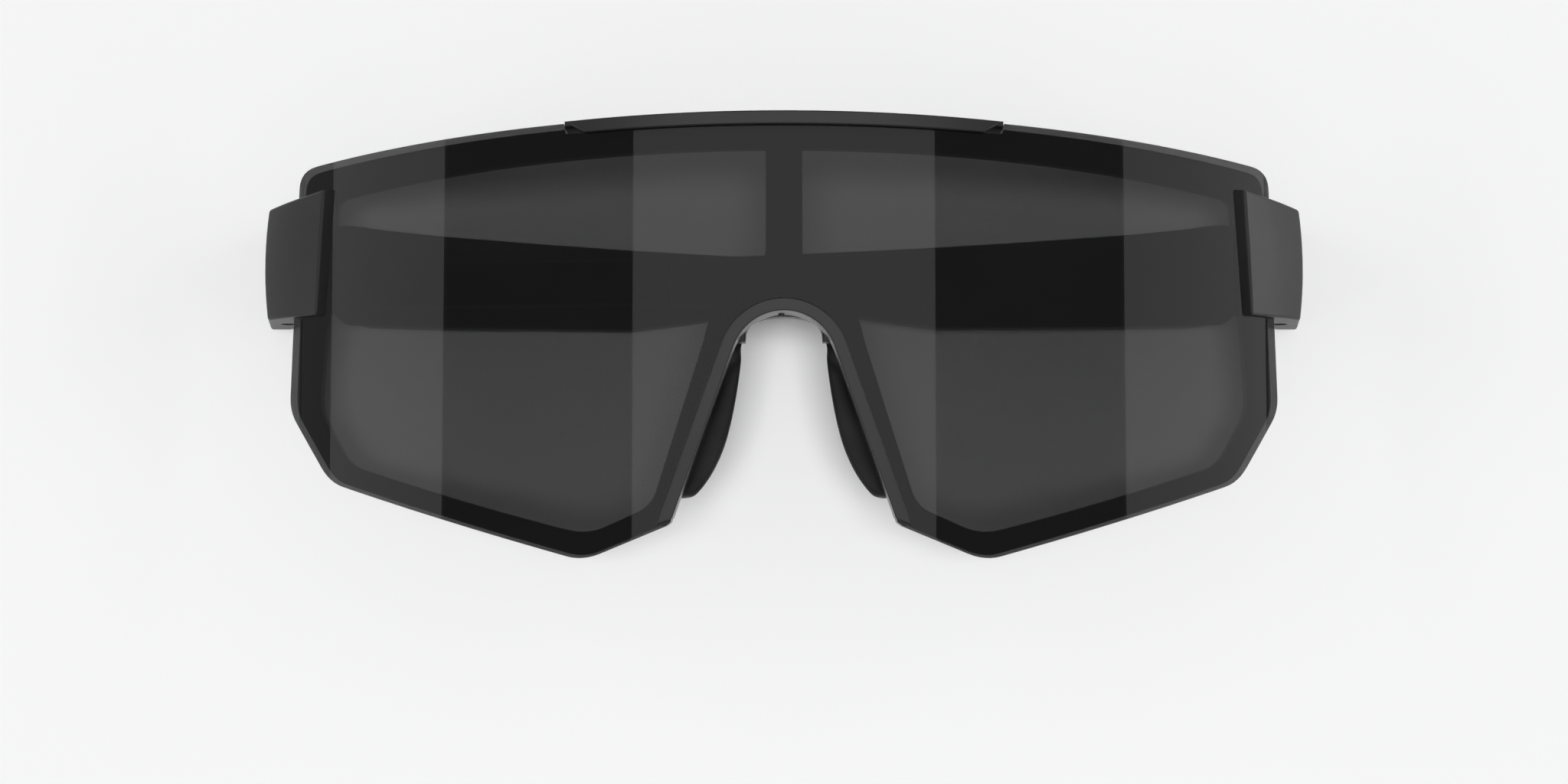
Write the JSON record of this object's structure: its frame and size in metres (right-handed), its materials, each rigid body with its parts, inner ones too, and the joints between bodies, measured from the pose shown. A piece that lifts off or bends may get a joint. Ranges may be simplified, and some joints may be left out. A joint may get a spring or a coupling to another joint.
{
  "type": "wraparound sport sunglasses",
  "caption": "Shield sunglasses with a cylindrical one-piece smoke lens, a full inner rim, a nose bridge with rubber pads, hinge blocks, and temples folded under the lens.",
  "frame": {"origin": "on the floor, below the middle of the whole object's box", "axes": "+X towards the wearer's left, +Y towards the wearer's brow, +Z out of the front of the lens, which faces up"},
  "size_m": [0.1494, 0.057, 0.0423],
  "materials": {
    "smoke_lens": "polished grey smoke",
    "frame_black": "matte black with a fine moulded grain",
    "satin_black": "satin black",
    "soft_rubber": "soft matte rubber",
    "hinge_steel": "brushed",
    "core_steel": "drawn wire",
    "insert_brass": "turned",
    "nylon": "natural nylon"
  },
  "bodies": {
    "front": {"shield_lens": "smoke_lens", "frame_rim": "frame_black", "brow_bar": "satin_black", "nose_bridge_clip": "satin_black", "nose_saddle": "soft_rubber", "hinge_block_left": "frame_black", "hinge_bracket_left": "hinge_steel", "hinge_screw_left": "hinge_steel", "hinge_insert_left": "insert_brass", "hinge_washers_left": "nylon", "hinge_block_right": "frame_black", "hinge_bracket_right": "hinge_steel", "hinge_screw_right": "hinge_steel", "hinge_insert_right": "insert_brass", "hinge_washers_right": "nylon"},
    "left_temple": {"temple_arm_left": "frame_black", "temple_grip_left": "soft_rubber", "temple_core_left": "core_steel", "hinge_knuckle_left": "hinge_steel", "hinge_bush_left": "nylon", "knuckle_rivets_left": "hinge_steel"},
    "right_temple": {"temple_arm_right": "frame_black", "temple_grip_right": "soft_rubber", "temple_core_right": "core_steel", "hinge_knuckle_right": "hinge_steel", "hinge_bush_right": "nylon", "knuckle_rivets_right": "hinge_steel"},
    "left_nose_pad": {"nose_pad_left": "soft_rubber", "nose_pad_wire_left": "core_steel"},
    "right_nose_pad": {"nose_pad_right": "soft_rubber", "nose_pad_wire_right": "core_steel"}
  },
  "joints": [
    {"name": "left_temple_fold", "type": "hinge", "parent": "front", "child": "left_temple", "pos_m": [0.07, 0.01196, 0.0084], "axis": [0, -1, 0], "range_deg": [-1.2, 0.3]},
    {"name": "right_temple_fold", "type": "hinge", "parent": "front", "child": "right_temple", "pos_m": [-0.07, 0.01196, 0.0084], "axis": [0, 1, 0], "range_deg": [0, 86]},
    {"name": "left_nose_pad_bend", "type": "hinge", "parent": "front", "child": "left_nose_pad", "pos_m": [0.01029, -0.00701, 0.0349], "axis": [0.3354, -0.9421, 0], "range_deg": [-6, 6]},
    {"name": "right_nose_pad_bend", "type": "hinge", "parent": "front", "child": "right_nose_pad", "pos_m": [-0.01029, -0.00701, 0.0349], "axis": [-0.3354, -0.9421, 0], "range_deg": [-6, 6]}
  ]
}
